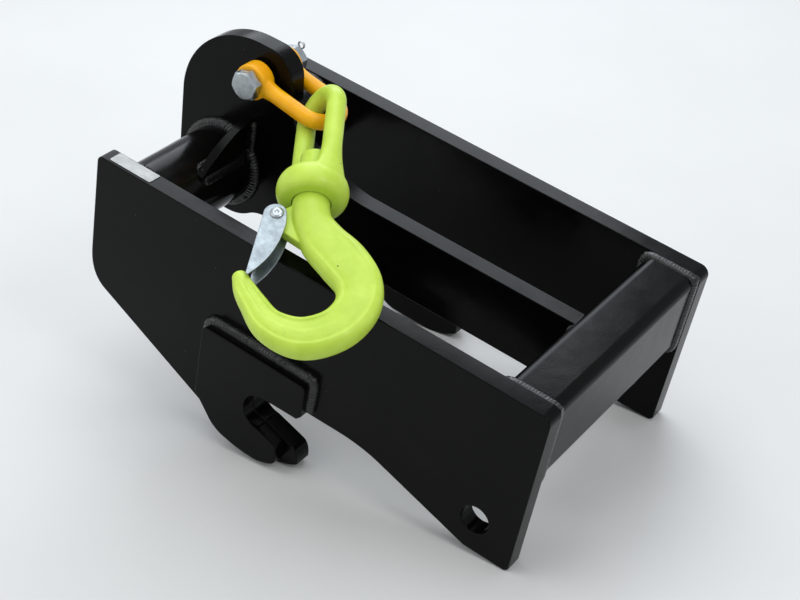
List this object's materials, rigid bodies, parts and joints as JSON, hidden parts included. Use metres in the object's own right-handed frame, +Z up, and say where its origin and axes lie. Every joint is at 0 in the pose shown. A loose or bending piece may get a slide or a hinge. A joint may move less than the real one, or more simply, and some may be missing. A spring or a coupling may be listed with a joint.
{
  "type": "lifting hook attachment for a quick coupler",
  "caption": "Welded excavator quick-coupler lifting frame with hook-on claws, locking-pin holes, an eye plate, a bolt shackle and a swivel latch hook lying over its side plate.",
  "frame": {"origin": "middle of the whole object's box at ground level, with the frame resting on its claws and heels", "axes": "+Z up; +X along the side plates from the eye plate end towards the rear cross tube, level with the ground; +Y across the frame, away from the side that the hook lies on"},
  "size_m": [0.5882, 0.4444, 0.3992],
  "materials": {
    "black_paint": "gloss",
    "label_foil": "satin",
    "orange_paint": "semi-gloss",
    "zinc_plate": "satin",
    "green_coat": "semi-gloss",
    "bearing_bronze": "satin",
    "spring_steel": "satin"
  },
  "bodies": {
    "frame": {"near_side_plate": "black_paint", "far_side_plate": "black_paint", "near_claw_cheek": "black_paint", "far_claw_cheek": "black_paint", "rear_cross_tube": "black_paint", "near_front_pipe": "black_paint", "far_front_pipe": "black_paint", "eye_plate": "black_paint", "near_gusset": "black_paint", "far_gusset": "black_paint", "type_label": "label_foil"},
    "shackle": {"shackle_bow": "orange_paint", "shackle_bolt": "zinc_plate", "shackle_nut": "zinc_plate", "split_pin": "zinc_plate"},
    "swivel_eye": {"swivel_eye": "green_coat", "thrust_washer": "bearing_bronze"},
    "hook": {"hook_body": "green_coat", "shank_nut": "green_coat"},
    "latch": {"latch": "zinc_plate", "latch_rivet": "zinc_plate", "latch_spring": "spring_steel"}
  },
  "joints": [
    {"name": "shackle_pivot", "type": "hinge", "parent": "frame", "child": "shackle", "pos_m": [-0.16693, 0.03924, 0.36101], "axis": [0, -1, 0], "range_deg": [0, 130]},
    {"name": "eye_swing", "type": "hinge", "parent": "shackle", "child": "swivel_eye", "pos_m": [-0.08771, 0.02067, 0.3342], "axis": [-0.2255, -0.7733, 0.5925], "range_deg": [0, 75]},
    {"name": "hook_swivel", "type": "hinge", "parent": "swivel_eye", "child": "hook", "pos_m": [-0.03715, -0.05485, 0.30321], "axis": [-0.4931, 0.7928, 0.3582], "range_deg": [0, 180]},
    {"name": "latch_pivot", "type": "hinge", "parent": "hook", "child": "latch", "pos_m": [-0.04389, -0.1036, 0.28739], "axis": [0.156, -0.3244, 0.933], "range_deg": [0, 34], "stiffness_Nm_per_rad": 0.25, "springref_deg": -20.05}
  ],
  "couplings": [
    {"joint": "hook_swivel", "follows": "eye_swing", "ratio": 2}
  ]
}
